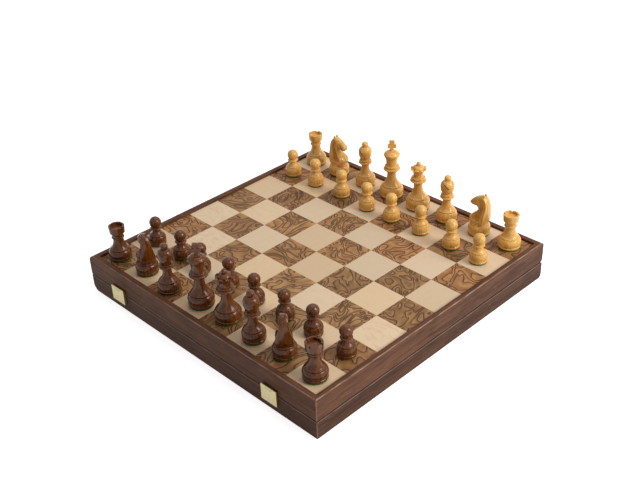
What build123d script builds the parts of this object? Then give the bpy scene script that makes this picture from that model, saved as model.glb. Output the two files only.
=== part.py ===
from build123d import *

import os
from math import atan2, cos, radians, sin, sqrt, tan

# A chess box: a shallow storage box whose hinged lid is the chess board, with the men that it stores standing
# on the board. Millimetres. The origin is the middle of the underside, +Z is up, the clasps face -Y and the
# lid's hinges are at +Y.

# ------------------------------------------------------------------------------------- driving sizes
# Board
square = 48.0  # side of one square
squares_across = 8
veneer = 0.6  # thickness of the squares
edge_cover = 1.2  # strip of the outer squares that the rails take away
board_recess = 2.9  # from the rails' top down to the squares

# Rails, each from its inner wall to its outer face
front_rail = 7.0
right_rail = 6.5
left_rail = 15.0
back_rail = 11.5
lid_height = 29.0
base_height = 23.8
seam_gap = 0.2  # air between the two rims when the box is shut
left_round = 11.0  # radius of the left rails' outer edges, above and below
back_round = 6.5  # the same along the back
arris = 0.5  # easing of the sharp edges
left_notch = 1.5  # chamfer along the left seam
stop_inset = 3.0  # hinge line, in from the back face
open_angle = 94.0  # where the bevels behind the hinge line meet and stop the lid
bevel_ease = 1.0  # degrees that the two bevels are cut wider than that

# Panels and linings
lid_panel = 5.0
base_panel = 4.0
tongue = 3.5  # how far a panel's edge runs into its groove
lining = 1.0
joint_fit = 0.1  # play round a panel, a lining or the squares

# Hinges
hinge_count = 2
hinge_from_side = 80.0  # from the box's side to the middle of a hinge
hinge_length = 46.0
knuckle_count = 5
leaf_thickness = 0.9
leaf_margin = 1.0  # rim left between a leaf and the inner wall
knuckle_radius = 1.7
pin_radius = 0.9
pin_fit = 0.05
knuckle_play = 0.2
recess_fit = 0.15  # room round a leaf and its knuckles in the wood
screws_per_leaf = 3
screw_radius = 1.0
screw_head_radius = 1.9
screw_head_height = 0.8
screw_length = 9.0
screw_fit = 0.02

# Clasps: a brass flap hangs from a plate on the lid, over a strike plate on the base
left_clasp_from_side = 60.5
right_clasp_from_side = 69.5
flap_width = 24.0
flap_height = 20.0
flap_above_seam = 7.0
flap_skin = 0.9  # thickness of the flap's face and sides
flap_stand = 0.4  # air between the flap's sides and the box
flap_edge = 0.6  # rounding of the flap's pressed edges
clasp_barrel_radius = 1.5
clasp_pin_radius = 0.6
clasp_barrel_share = 0.4  # share of the flap's width that the lid plate's knuckle takes
clasp_plate = 0.8
clasp_plate_margin = 0.7  # between the flap's sides and the plates behind it
catch_height = 1.3  # the strike plate's raised catch
catch_radius = 1.4
catch_gap = 0.3  # between the flap's lower lip and the catch that it springs over
nail_radius = 0.5
nail_head_radius = 1.0
nail_head_height = 0.5
nail_length = 4.0
nail_inset = 4.0  # from a plate's end to its nail

# Men: the greatest diameter and the full height, felt included
king_diameter = 31.6
king_height = 82.5
queen_diameter = 32.0
queen_height = 68.0
bishop_diameter = 27.8
bishop_height = 65.0
knight_diameter = 28.2
knight_height = 58.5
rook_diameter = 28.6
rook_height = 46.5
pawn_diameter = 22.6
pawn_height = 39.0
felt = 1.6
felt_inset = 0.2  # how far the felt stays inside the foot's edge
stand_gap = 0.1  # air under a man that stands on the board
rook_slot = 1.7
rook_slot_depth = 1.6
rook_slots = 4
rook_well_depth = 3.4
rook_well_radius = 7.4
bishop_slit = 1.4
bishop_slit_angle = 46.0  # slope of the saw cut, from level
bishop_slit_past_axis = 0.6  # how far the cut runs past the middle
crown_points = 8
crown_notch_radius = 2.2
cross_thickness = 4.2
ear_notch = 2.6
knight_flank = 9.6  # thickness across the hollows in a knight's flanks

# How far each man stands from the middle of its square, +X and +Y, and the way that it is turned, in degrees.
# Files run from the left to the right.
back_rank = ["rook", "knight", "bishop", "king", "queen", "bishop", "knight", "rook"]
back_rank_names = ["rook_left", "knight_left", "bishop_left", "king", "queen", "bishop_right", "knight_right", "rook_right"]
light_back_offsets = [(0, 0), (-1, -1), (0, 0), (0, 0), (-1, -1), (-1, -1), (2, 1), (1, 0)]
light_back_turns = [30, 0, 195, 45, 0, 225, 180, 30]
light_pawn_offsets = [(1, 1), (-3, 2), (-2, 3), (-1, 0), (-6, 0), (-6, 1), (-4, 0), (-7, -4)]
dark_back_offsets = [(-4, -4), (-1, -1), (2, -7), (4, 1), (1, 3), (2, -2), (-1, 2), (1, -2)]
dark_back_turns = [10, 160, 135, 45, 0, 135, 140, 20]
dark_pawn_offsets = [(4, -1), (5, 0), (-2, -2), (0, 0), (-1, -2), (-1, 0), (-5, 1), (-1, -1)]

# ------------------------------------------------------------------------------------- derived places
board_side = squares_across * square
play = board_side - 2 * edge_cover  # between the rails' inner walls
box_x = left_rail + play + right_rail
box_y = front_rail + play + back_rail
x_left, x_right = -box_x / 2, box_x / 2
y_front, y_back = -box_y / 2, box_y / 2
wall_left, wall_right = x_left + left_rail, x_right - right_rail
wall_front, wall_back = y_front + front_rail, y_back - back_rail
play_x, play_y = (wall_left + wall_right) / 2, (wall_front + wall_back) / 2
grid_x, grid_y = wall_left - edge_cover, wall_front - edge_cover  # the board's front left corner

base_rim = base_height
lid_rim = base_rim + seam_gap
lid_top = lid_rim + lid_height
board_top = lid_top - board_recess
lid_panel_top = board_top - veneer
seam = (base_rim + lid_rim) / 2
bevel_angle = (open_angle + bevel_ease) / 2
stop_bevel = stop_inset * tan(radians(bevel_angle))
hinge_y = y_back - stop_inset
lid_left_round = min(left_round, left_rail, lid_height - left_notch)
base_left_round = min(left_round, left_rail, base_height - left_notch)
lid_back_round = min(back_round, back_rail, lid_height - stop_bevel)
base_back_round = min(back_round, back_rail, base_height - stop_bevel)
leaf_width = back_rail - stop_inset - leaf_margin
hinge_xs = [x_left + hinge_from_side + i * (box_x - 2 * hinge_from_side) / (hinge_count - 1) for i in range(hinge_count)]
clasp_xs = [x_left + left_clasp_from_side, x_right - right_clasp_from_side]
clasp_stand = flap_stand + clasp_barrel_radius  # from the front face to the clasp's pin
clasp_y = y_front - clasp_stand
clasp_z = seam + flap_above_seam - clasp_barrel_radius
flap_face = clasp_stand + clasp_barrel_radius  # from the front face to the flap's outside


def node(name, *solids):
    """Writes one named piece, or a group of like pieces, to its own file."""
    shape = solids[0] if len(solids) == 1 else Compound(children=list(solids))
    shape.label = name
    export_step(shape, f"parts/{name}.step")


def slab(x0, x1, y0, y1, z0, z1):
    """A block between two opposite corners."""
    return Pos((x0 + x1) / 2, (y0 + y1) / 2, (z0 + z1) / 2) * Box(x1 - x0, y1 - y0, z1 - z0)


def rod(radius, x0, x1, y, z):
    """A round bar along X."""
    return Pos((x0 + x1) / 2, y, z) * Rot(0, 90, 0) * Cylinder(radius, x1 - x0)


# ------------------------------------------------------------------------------------- the two shells
def shell_section(plane, crisp, soft, radius, notch, bevel, outer_z, rim_z):
    """Outline across a shell, from its crisp side to its soft side. The soft side is rounded where it meets the
    outer face and chamfered, by notch along the rim and bevel up the side, where it meets the rim."""
    across = 1 if soft > crisp else -1
    up = 1 if outer_z > rim_z else -1
    round_mid = radius * (1 - cos(radians(45)))
    outline = Polyline(
        (soft, outer_z - up * radius),
        (soft, rim_z + up * bevel),
        (soft - across * notch, rim_z),
        (crisp + across * arris, rim_z),
        (crisp, rim_z + up * arris),
        (crisp, outer_z - up * arris),
        (crisp + across * arris, outer_z),
        (soft - across * radius, outer_z),
    )
    corner = ThreePointArc(
        (soft - across * radius, outer_z),
        (soft - across * round_mid, outer_z - up * round_mid),
        (soft, outer_z - up * radius),
    )
    return plane * make_face(outline + corner)


def shell_block(outer_z, rim_z, side_round, rear_round):
    """A shell before it is hollowed: where three outlines, one along each direction, cross."""
    along_x = extrude(
        shell_section(Plane.YZ, y_front, y_back, rear_round, stop_inset, stop_bevel, outer_z, rim_z),
        box_x, both=True,
    )
    along_y = extrude(
        shell_section(Plane.XZ, x_right, x_left, side_round, left_notch, left_notch, outer_z, rim_z),
        box_y, both=True,
    )
    plan = extrude(chamfer(Rectangle(box_x, box_y).vertices(), arris), lid_top + base_height, both=True)
    return along_x & along_y & plan


def rails(block):
    """Four rails mitred at the corners, cut from a hollow frame: each lies over its own side of the plan."""
    outer = [(x_left, y_front), (x_right, y_front), (x_right, y_back), (x_left, y_back)]
    inner = [(wall_left, wall_front), (wall_right, wall_front), (wall_right, wall_back), (wall_left, wall_back)]
    cut = {}
    for i, side in enumerate(("front", "right", "back", "left")):
        j = (i + 1) % 4
        mitre = make_face(Polyline(outer[i], outer[j], inner[j], inner[i], close=True))
        cut[side] = block & extrude(mitre, lid_top + base_height, both=True)
    return cut


def opening(z0, z1, spread=0.0):
    """The space between the inner walls, widened by spread on every side."""
    return slab(wall_left - spread, wall_right + spread, wall_front - spread, wall_back + spread, z0, z1)


def hinge_recess():
    """Room in both rims for the hinges' leaves and knuckles."""
    room = []
    for x in hinge_xs:
        x0, x1 = x - hinge_length / 2 - recess_fit, x + hinge_length / 2 + recess_fit
        deep = leaf_thickness + recess_fit
        room.append(rod(knuckle_radius + recess_fit, x0, x1, hinge_y, seam))
        room.append(slab(x0, x1, hinge_y - leaf_width - recess_fit, hinge_y, base_rim - deep, lid_rim + deep))
    return room


def screw_places():
    """The middle of each hinge screw's head, for one leaf."""
    pitch = hinge_length / screws_per_leaf
    return [
        (x + (i - (screws_per_leaf - 1) / 2) * pitch, hinge_y - (leaf_width + knuckle_radius) / 2)
        for x in hinge_xs
        for i in range(screws_per_leaf)
    ]


def hinge_screw(x, y, rim, way, fit=0.0):
    """A countersunk screw whose head is flush with its leaf's face, going into the wood along way (+1 is up).
    The head narrows at once, so that it wedges in the leaf's cone."""
    head = Pos(x, y, rim + way * screw_head_height / 2) * Cone(
        (screw_head_radius if way > 0 else screw_radius) + fit,
        (screw_radius if way > 0 else screw_head_radius) + fit,
        screw_head_height,
    )
    shank_length = screw_length - screw_head_height + fit
    shank = Pos(x, y, rim + way * (screw_head_height + shank_length / 2)) * Cylinder(screw_radius + fit, shank_length)
    return head + shank


def clasp_nails(z, fit=0.0):
    """Round-headed nails that hold the two clasp plates at height z: heads in front, shanks into the rail."""
    nails = []
    for x in clasp_xs:
        half = flap_width / 2 - flap_skin - clasp_plate_margin - nail_inset
        for side in (-1, 1):
            place = Pos(x + side * half, y_front - clasp_plate, z)
            head = place * Pos(0, -nail_head_height / 2, 0) * Rot(90, 0, 0) * Cylinder(nail_head_radius, nail_head_height)
            shank = place * Pos(0, nail_length / 2, 0) * Rot(90, 0, 0) * Cylinder(nail_radius + fit, nail_length)
            nails.append(shank if fit else head + shank)
    return nails


lid_nail_z = (lid_rim + arris + clasp_z) / 2 - clasp_barrel_radius / 2
strike_top = base_rim - arris
strike_bottom = clasp_z + clasp_barrel_radius - flap_height + flap_skin + catch_gap
strike_z = (strike_top + strike_bottom) / 2


def lid_shell():
    """The four rails of the lid, grooved for the board."""
    groove = opening(lid_panel_top - lid_panel - joint_fit, lid_panel_top + joint_fit, tongue)
    frame = shell_block(lid_top, lid_rim, lid_left_round, lid_back_round)
    frame -= opening(lid_rim - 1, lid_top + 1)
    frame -= groove
    frame -= hinge_recess()
    frame -= [hinge_screw(x, y, lid_rim, 1, screw_fit) for x, y in screw_places()]
    frame -= clasp_nails(lid_nail_z, screw_fit)
    return rails(frame)


def base_shell():
    """The four rails of the base, rebated for the bottom panel."""
    frame = shell_block(0, base_rim, base_left_round, base_back_round)
    frame -= opening(-1, base_rim + 1)
    frame -= opening(-1, base_panel + joint_fit, tongue)
    frame -= hinge_recess()
    frame -= [hinge_screw(x, y, base_rim, -1, screw_fit) for x, y in screw_places()]
    frame -= clasp_nails(strike_z, screw_fit)
    return rails(frame)


def board_squares(dark):
    """The light or the dark veneer squares. The outer ones are narrower by the strip under the rails."""
    low, high = edge_cover + joint_fit, board_side - edge_cover - joint_fit
    tiles = []
    for i in range(squares_across):
        for j in range(squares_across):
            if (i + j) % 2 == (0 if dark else 1):
                x0, x1 = max(i * square, low), min((i + 1) * square, high)
                y0, y1 = max(j * square, low), min((j + 1) * square, high)
                tiles.append(slab(grid_x + x0, grid_x + x1, grid_y + y0, grid_y + y1, lid_panel_top, board_top))
    return tiles


# ------------------------------------------------------------------------------------- hinges and clasps
def hinge_leaves(rim, way, first):
    """One leaf of every hinge, with its share of the knuckles: every other one, starting at first."""
    leaves = []
    pitch = hinge_length / knuckle_count
    for x in hinge_xs:
        start = x - hinge_length / 2
        z0, z1 = sorted((rim, rim + way * leaf_thickness))
        leaf = slab(start, start + hinge_length, hinge_y - leaf_width, hinge_y, z0, z1)
        for k in range(knuckle_count):
            x0, x1 = start + k * pitch, start + (k + 1) * pitch
            if k % 2 == first:
                leaf += rod(knuckle_radius, x0 + knuckle_play / 2, x1 - knuckle_play / 2, hinge_y, seam)
                gaps = [x0 - knuckle_play / 2, x1 + knuckle_play / 2]
                for gap in gaps:
                    leaf -= rod(knuckle_radius + knuckle_play, gap - knuckle_play, gap, hinge_y, seam)
            else:
                leaf -= rod(knuckle_radius + knuckle_play, x0 - knuckle_play / 2, x1 + knuckle_play / 2, hinge_y, seam)
        leaf -= rod(pin_radius + pin_fit, start - 1, start + hinge_length + 1, hinge_y, seam)
        for sx, sy in screw_places():
            if abs(sx - x) < hinge_length / 2:
                leaf -= hinge_screw(sx, sy, rim, way, screw_fit)
        leaves.append(leaf)
    return leaves


def hinge_pins():
    return [rod(pin_radius, x - hinge_length / 2, x + hinge_length / 2, hinge_y, seam) for x in hinge_xs]


def clasp_flap(x):
    """A shallow pressed brass tray, open towards the box, with a knuckle at each end of its top edge."""
    x0, x1 = x - flap_width / 2, x + flap_width / 2
    top, bottom = clasp_z + clasp_barrel_radius / 2, clasp_z + clasp_barrel_radius - flap_height
    outside, inside = y_front - flap_face, y_front - flap_stand
    blank = slab(x0, x1, outside, inside, bottom, top)
    face = blank.faces().sort_by(Axis.Y)[0]
    tray = fillet(face.edges(), min(flap_edge, 0.9 * flap_skin))
    tray -= slab(x0 + flap_skin, x1 - flap_skin, outside + flap_skin, inside + 1, bottom + flap_skin, top + 1)
    half_middle = flap_width * clasp_barrel_share / 2
    flap = tray
    for a, b in ((x0, x - half_middle - knuckle_play), (x + half_middle + knuckle_play, x1)):
        flap += rod(clasp_barrel_radius, a, b, clasp_y, clasp_z)
    flap -= rod(clasp_barrel_radius + knuckle_play, x - half_middle - knuckle_play, x + half_middle + knuckle_play,
                clasp_y, clasp_z)
    return flap - rod(clasp_pin_radius + pin_fit, x0 - 1, x1 + 1, clasp_y, clasp_z)


def clasp_hinge_plates():
    """The plates on the lid that carry the flaps: each ends in the middle knuckle."""
    plates = []
    for x in clasp_xs:
        half = flap_width / 2 - flap_skin - clasp_plate_margin
        half_middle = flap_width * clasp_barrel_share / 2
        z0, z1 = lid_rim + arris, clasp_z - clasp_barrel_radius - knuckle_play
        plate = slab(x - half, x + half, y_front - clasp_plate, y_front, z0, z1)
        plate += slab(x - half_middle, x + half_middle, y_front - clasp_plate, y_front, z0, clasp_z)
        plate += slab(x - half_middle, x + half_middle, clasp_y, y_front - clasp_plate / 2, clasp_z - clasp_plate, clasp_z)
        plate += rod(clasp_barrel_radius, x - half_middle, x + half_middle, clasp_y, clasp_z)
        plate -= rod(clasp_pin_radius + pin_fit, x - half, x + half, clasp_y, clasp_z)
        plates.append(plate)
    for hole in clasp_nails(lid_nail_z, screw_fit):
        plates = [plate - hole for plate in plates]
    return plates


def clasp_strike_plates():
    """The plates on the base, each with a raised catch just above the place of the closed flap's lower lip."""
    plates = []
    for x in clasp_xs:
        half = flap_width / 2 - flap_skin - clasp_plate_margin
        plate = slab(x - half, x + half, y_front - clasp_plate, y_front, strike_bottom, strike_top)
        catch = Pos(x, y_front - clasp_plate - catch_height / 2, strike_bottom + catch_radius) * Rot(90, 0, 0)
        plate += catch * Cone(catch_radius, catch_radius / 2, catch_height)
        plates.append(plate)
    for hole in clasp_nails(strike_z, screw_fit):
        plates = [plate - hole for plate in plates]
    return plates


# ------------------------------------------------------------------------------------- the men
def turned(outline, diameter, height):
    """A turned man, to stand on its felt. The outline climbs from the foot's edge to the top in steps of (radius,
    height, swell): the swell is the rise of the arc that ends there, outwards when positive, and an arc that
    ends on the axis is a dome centred on it. The outline is drawn at about the man's own size, and is fitted to
    the given diameter and height."""
    wide = diameter / 2 * foot_edge / outline[0][0]
    tall = (height - felt) / outline[-1][1]
    r0, z0 = outline[0][0] * wide, felt
    edges = [Line((0, 0, z0), (r0, 0, z0))]
    for r, z, swell in outline[1:]:
        r1, z1 = r * wide, felt + z * tall
        length = sqrt((r1 - r0) ** 2 + (z1 - z0) ** 2)
        if swell and r == 0:
            centre = (z1 + z0 - r0 ** 2 / (z1 - z0)) / 2
            half_turn = radians(90) / 2 + atan2(z0 - centre, r0) / 2
            mid_r, mid_z = (z1 - centre) * cos(half_turn), centre + (z1 - centre) * sin(half_turn)
        else:
            mid_r = (r0 + r1) / 2 + swell * wide * (z1 - z0) / length
            mid_z = (z0 + z1) / 2 - swell * wide * (r1 - r0) / length
        if swell:
            edges.append(ThreePointArc((r0, 0, z0), (mid_r, 0, mid_z), (r1, 0, z1)))
        else:
            edges.append(Line((r0, 0, z0), (r1, 0, z1)))
        r0, z0 = r1, z1
    edges.append(Line((0, 0, z0), (0, 0, felt)))
    return revolve(make_face(edges), Axis.Z)


foot_edge = 0.92  # share of the foot's radius at its lower edge


def foot(width, rise):
    """The foot that every man has: a low plinth, a groove, a fat round moulding, and a step with a bead, fitted
    to the man's radius and the height of its foot. The outline ends where the stem begins."""
    return [
        (foot_edge * width, 0, 0),
        (0.965 * width, 0.05 * rise, 0.006 * width),
        (0.965 * width, 0.17 * rise, 0.015 * width),
        (0.93 * width, 0.20 * rise, 0),
        (0.85 * width, 0.86 * rise, 0.105 * width),
        (0.79 * width, 0.87 * rise, 0),
        (0.79 * width, 0.96 * rise, 0.025 * width),
        (0.72 * width, rise, 0),
    ]


pawn_outline = foot(11.3, 14.2) + [
    (4.6, 20.3, -0.7),
    (4.7, 20.9, 0),
    (6.8, 21.7, 0),
    (6.8, 23.0, 0.5),
    (4.9, 24.2, 0),
    (4.9, 24.5, 0),
    (0, 38.0, 1),
]
rook_outline = foot(14.3, 15.0) + [
    (6.6, 27.8, -1.2),
    (6.6, 28.6, 0),
    (7.7, 29.1, 0),
    (7.7, 30.3, 0.25),
    (6.9, 30.8, 0),
    (7.2, 33.6, -0.1),
    (9.4, 36.4, -0.4),
    (10.0, 45.2, 0),
    (9.7, 45.5, 0),
    (0, 45.5, 0),
]
bishop_outline = foot(13.9, 15.4) + [
    (5.3, 27.4, -1.3),
    (5.2, 30.2, 0),
    (7.4, 31.2, -0.2),
    (8.6, 32.4, 0),
    (8.7, 34.2, 0.5),
    (7.2, 35.2, 0),
    (7.9, 36.2, 0),
    (7.7, 37.6, 0.4),
    (5.6, 38.4, 0),
    (5.6, 39.2, 0),
    (8.9, 47.2, 1.1),
    (3.3, 57.4, 2.3),
    (4.3, 59.2, 0.3),
    (3.9, 62.4, 0.5),
    (0, 64.0, 1),
]
queen_outline = foot(16.0, 16.8) + [
    (5.9, 33.0, -1.6),
    (5.7, 36.2, 0),
    (8.2, 37.4, -0.2),
    (10.2, 39.0, 0),
    (10.4, 41.0, 0.6),
    (8.4, 42.2, 0),
    (9.2, 43.2, 0),
    (8.8, 44.8, 0.4),
    (6.8, 45.4, 0),
    (6.5, 48.0, -0.1),
    (10.2, 56.0, -1.0),
    (10.2, 58.0, 0.4),
    (8.6, 58.2, 0),
    (7.9, 57.4, 0),
    (2.6, 61.4, 1.3),
    (2.5, 61.8, 0),
    (0, 67.0, 1),
]
king_outline = foot(15.8, 17.2) + [
    (6.1, 33.0, -1.5),
    (5.9, 36.2, 0),
    (8.4, 37.4, -0.2),
    (10.6, 39.2, 0),
    (10.7, 41.4, 0.6),
    (8.8, 42.6, 0),
    (9.5, 43.6, 0),
    (9.1, 45.2, 0.4),
    (7.4, 45.8, 0),
    (7.4, 48.0, -0.1),
    (9.6, 59.0, -0.6),
    (10.5, 59.8, 0),
    (10.6, 62.6, 0.3),
    (9.6, 63.4, 0.1),
    (3.6, 66.4, 0.9),
    (2.6, 67.2, 0),
    (2.6, 69.5, 0),
    (0, 69.5, 0),
]
knight_foot_outline = foot(14.1, 15.4) + [
    (10.2, 16.6, 0.2),
    (0, 16.6, 0),
]


def drawn(profile, outline_height, height):
    """A side view, drawn with its foot at 0, fitted to a man's height above the felt."""
    scale = (height - felt) / outline_height
    return [(a * scale, felt + b * scale) for a, b in profile]


def king():
    """The king's finial is a cross with flared arms, its broad side across X."""
    body = turned(king_outline, king_diameter, king_height * king_outline[-1][1] / 81.5)
    half_cross = [
        (1.8, 68.0), (1.5, 71.2), (5.2, 70.4), (5.9, 71.6), (5.9, 75.4), (5.2, 76.4),
        (1.9, 75.6), (3.9, 79.6), (3.5, 81.0), (2.0, 81.5),
    ]
    right = drawn(half_cross, 81.5, king_height)
    left = [(-a, b) for a, b in reversed(right)]
    cross = extrude(Plane.XZ * make_face(Polyline(*right, *left, close=True)), cross_thickness / 2, both=True)
    return body + cross


def queen():
    """The queen's coronet is a flared rim, notched into points."""
    body = turned(queen_outline, queen_diameter, queen_height)
    rim_z = felt + (queen_height - felt) * 58.6 / queen_outline[-1][1]
    inner = queen_diameter / 2 * 7.6 / 16.0
    length = queen_diameter / 2
    notch = Pos(inner + length / 2, 0, rim_z) * Rot(0, 90, 0) * Cylinder(crown_notch_radius, length)
    return body - [Rot(0, 0, i * 360 / crown_points) * notch for i in range(crown_points)]


def bishop():
    """The bishop's mitre has a sloping saw cut, open towards +X at the top."""
    body = turned(bishop_outline, bishop_diameter, bishop_height)
    slit_z = felt + (bishop_height - felt) * 47.6 / bishop_outline[-1][1]
    reach = bishop_diameter
    blade = Pos(-bishop_slit_past_axis, 0, slit_z) * Rot(0, -bishop_slit_angle, 0)
    return body - blade * Pos(reach / 2, 0, 0) * Box(reach, reach, bishop_slit)


def rook():
    """The rook's tower is hollow at the top, and its wall is slotted."""
    body = turned(rook_outline, rook_diameter, rook_height)
    body -= Pos(0, 0, rook_height - rook_well_depth / 2) * Cylinder(rook_well_radius, rook_well_depth)
    reach = rook_diameter / 2
    slot = Pos(reach / 2, 0, rook_height - rook_slot_depth / 2) * Box(reach, rook_slot, rook_slot_depth)
    return body - [Rot(0, 0, i * 360 / rook_slots) * slot for i in range(rook_slots)]


def pawn():
    return turned(pawn_outline, pawn_diameter, pawn_height)


def knight():
    """The knight is a horse's head and neck, looking along +X, on a turned foot. It is where a side view and a
    front view cross, with a hollow in each flank between throat and mane, and a notch between the ears."""
    skull = [(-7.6, 52.0), (-6.2, 57.5), (-4.8, 57.3), (-2.4, 54.4), (3.4, 52.6), (9.4, 49.6), (13.4, 46.4)]
    top = max(b for a, b in skull)
    plinth = knight_foot_outline[-1][1]
    body = turned(knight_foot_outline, knight_diameter, felt + (knight_height - felt) * plinth / top)
    bury = 0.4  # how far the carving goes into the foot
    nape = drawn([(-10.6, plinth - bury), (-12.4, 24), (-13.0, 34), (-11.8, 43), (-7.6, 52.0)], top, knight_height)
    crest = drawn(skull, top, knight_height)
    mouth = drawn([(13.4, 46.4), (14.4, 43.4), (13.2, 40.4), (10.2, 39.0), (5.6, 38.6), (1.4, 36.2)], top, knight_height)
    chest = drawn([(1.4, 36.2), (2.4, 32.0), (8.6, 27.2), (12.0, 22.6), (10.6, plinth - bury)], top, knight_height)
    side = make_face(
        Spline(*nape) + Polyline(*crest) + Spline(*mouth) + Spline(*chest) + Line(chest[-1], nape[0])
    )
    half_front = drawn([(9.8, plinth - bury), (10.2, 21.0), (9.4, 26.0), (7.0, 31.6), (5.4, 37.0), (4.8, 44.0),
                        (4.3, 52.0), (3.6, top + bury)], top, knight_height)
    front = make_face(Polyline(*half_front, *[(-a, b) for a, b in reversed(half_front)], close=True))
    head = extrude(Plane.XZ * side, knight_diameter, both=True) & extrude(Plane.YZ * front, knight_diameter, both=True)
    hollow = drawn([(3.0, 18.6), (7.6, 20.0), (9.2, 23.0), (7.4, 26.4), (3.6, 29.8), (0.6, 34.0), (-0.4, 38.4),
                    (-3.4, 42.6), (-6.8, 42.6), (-9.4, 36.6), (-9.9, 28.6), (-8.6, 22.2), (-4.6, 19.2)],
                   top, knight_height)
    between_flanks = Pos(0, 0, knight_height / 2) * Box(2 * knight_diameter, knight_flank, 2 * knight_height)
    flanks = extrude(Plane.XZ * make_face(Polyline(*hollow, close=True)), knight_diameter, both=True) - between_flanks
    between_ears = Pos(0, 0, knight_height) * Rot(45, 0, 0) * Box(knight_diameter, ear_notch, ear_notch)
    return body + (head - flanks - between_ears)


def felt_pad(diameter):
    """The green pad under a man's foot."""
    return Pos(0, 0, felt / 2) * Cylinder(foot_edge * diameter / 2 - felt_inset, felt)


kinds = {
    "king": (king, king_diameter),
    "queen": (queen, queen_diameter),
    "bishop": (bishop, bishop_diameter),
    "knight": (knight, knight_diameter),
    "rook": (rook, rook_diameter),
    "pawn": (pawn, pawn_diameter),
}


def stand(name, shapes, file, rank, offset, turn=0):
    """Sets a man and its felt on a square, counted from the front left corner, and writes them."""
    x = grid_x + (file + 0.5) * square + offset[0]
    y = grid_y + (rank + 0.5) * square + offset[1]
    place = Pos(x, y, board_top + stand_gap) * Rot(0, 0, turn)
    node(name, *[place * shape for shape in shapes])


def men():
    made = {kind: (make(), felt_pad(diameter)) for kind, (make, diameter) in kinds.items()}
    colours = (
        ("light", squares_across - 1, -1, light_back_offsets, light_back_turns, light_pawn_offsets),
        ("dark", 0, 1, dark_back_offsets, dark_back_turns, dark_pawn_offsets),
    )
    for colour, home, forward, back_offsets, turns, pawn_offsets in colours:
        for i, kind in enumerate(back_rank):
            stand(f"{colour}_{back_rank_names[i]}", made[kind], i, home, back_offsets[i], turns[i])
            stand(f"{colour}_pawn_{i + 1}", made["pawn"], i, home + forward, pawn_offsets[i])


# ------------------------------------------------------------------------------------- writing the pieces
def main():
    os.makedirs("parts", exist_ok=True)
    for side, rail in lid_shell().items():
        node(f"lid_rail_{side}", rail)
    for side, rail in base_shell().items():
        node(f"base_rail_{side}", rail)

    seat = tongue - joint_fit
    under_board = lid_panel_top - lid_panel
    node("lid_panel", opening(under_board, lid_panel_top, seat))
    node("light_squares", *board_squares(dark=False))
    node("burl_squares", *board_squares(dark=True))
    node("lid_lining", opening(under_board - lining, under_board, -joint_fit))
    node("base_panel", opening(0, base_panel, seat))
    node("base_lining", opening(base_panel, base_panel + lining, -joint_fit))

    node("hinge_lid_leaves", *hinge_leaves(lid_rim, 1, 1))
    node("hinge_base_leaves", *hinge_leaves(base_rim, -1, 0))
    node("hinge_pins", *hinge_pins())
    node("hinge_lid_screws", *[hinge_screw(x, y, lid_rim, 1) for x, y in screw_places()])
    node("hinge_base_screws", *[hinge_screw(x, y, base_rim, -1) for x, y in screw_places()])

    node("clasp_flap_left", clasp_flap(clasp_xs[0]))
    node("clasp_flap_right", clasp_flap(clasp_xs[1]))
    node("clasp_hinge_plates", *clasp_hinge_plates())
    node("clasp_pins", *[rod(clasp_pin_radius, x - flap_width / 2, x + flap_width / 2, clasp_y, clasp_z) for x in clasp_xs])
    node("clasp_strike_plates", *clasp_strike_plates())
    node("clasp_lid_nails", *clasp_nails(lid_nail_z))
    node("clasp_strike_nails", *clasp_nails(strike_z))
    men()


main()
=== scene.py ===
"""Chess box with a hinged board lid, dressed over its CAD frame: wood, veneer, felt and brass finishes,
carved knights, and a plain studio stage."""

import bmesh
import bpy
import numpy as np
from bpy.props import FloatProperty, FloatVectorProperty, IntProperty, PointerProperty
from mathutils import Matrix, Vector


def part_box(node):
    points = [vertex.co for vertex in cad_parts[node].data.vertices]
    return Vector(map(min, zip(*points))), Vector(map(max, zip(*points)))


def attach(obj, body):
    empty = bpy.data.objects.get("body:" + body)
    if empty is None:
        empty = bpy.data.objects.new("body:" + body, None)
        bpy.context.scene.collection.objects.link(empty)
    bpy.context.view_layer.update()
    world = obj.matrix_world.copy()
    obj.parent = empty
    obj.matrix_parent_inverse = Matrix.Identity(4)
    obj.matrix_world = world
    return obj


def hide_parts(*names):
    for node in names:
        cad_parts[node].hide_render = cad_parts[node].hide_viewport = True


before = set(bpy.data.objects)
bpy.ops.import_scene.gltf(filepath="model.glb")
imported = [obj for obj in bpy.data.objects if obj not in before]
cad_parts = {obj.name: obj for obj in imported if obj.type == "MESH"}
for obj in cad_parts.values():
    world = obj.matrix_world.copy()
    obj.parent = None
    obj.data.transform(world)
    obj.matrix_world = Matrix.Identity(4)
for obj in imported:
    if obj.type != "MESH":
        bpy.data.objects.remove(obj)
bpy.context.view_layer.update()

bl_info = {
    "name": "Chess Box",
    "version": (1, 0, 0),
    "blender": (4, 5, 0),
    "location": "View3D > Sidebar > Chess Box",
    "description": "Finishes, carved knights and stage for a chess box with a hinged lid",
    "category": "Object",
}

MM = 0.001
X, Y, Z = 0, 1, 2
WHITE = (1, 1, 1, 1)

# The men's polish: roughness and specular level.
POLISH = {"light": (0.24, 0.45), "dark": (0.2, 0.3)}

# The burl's figure: its size along and across the grain, in line spacings, the number of height lines that
# its smooth noise spans, the share of fine noise, and the step over which its slope is taken, in figure
# sizes.
FIGURE_ALONG, FIGURE_ACROSS = 9.0, 6.0
FIGURE_LINES = 9.5
FIGURE_FINE = 0.1
SLOPE_STEP = 0.03

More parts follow.
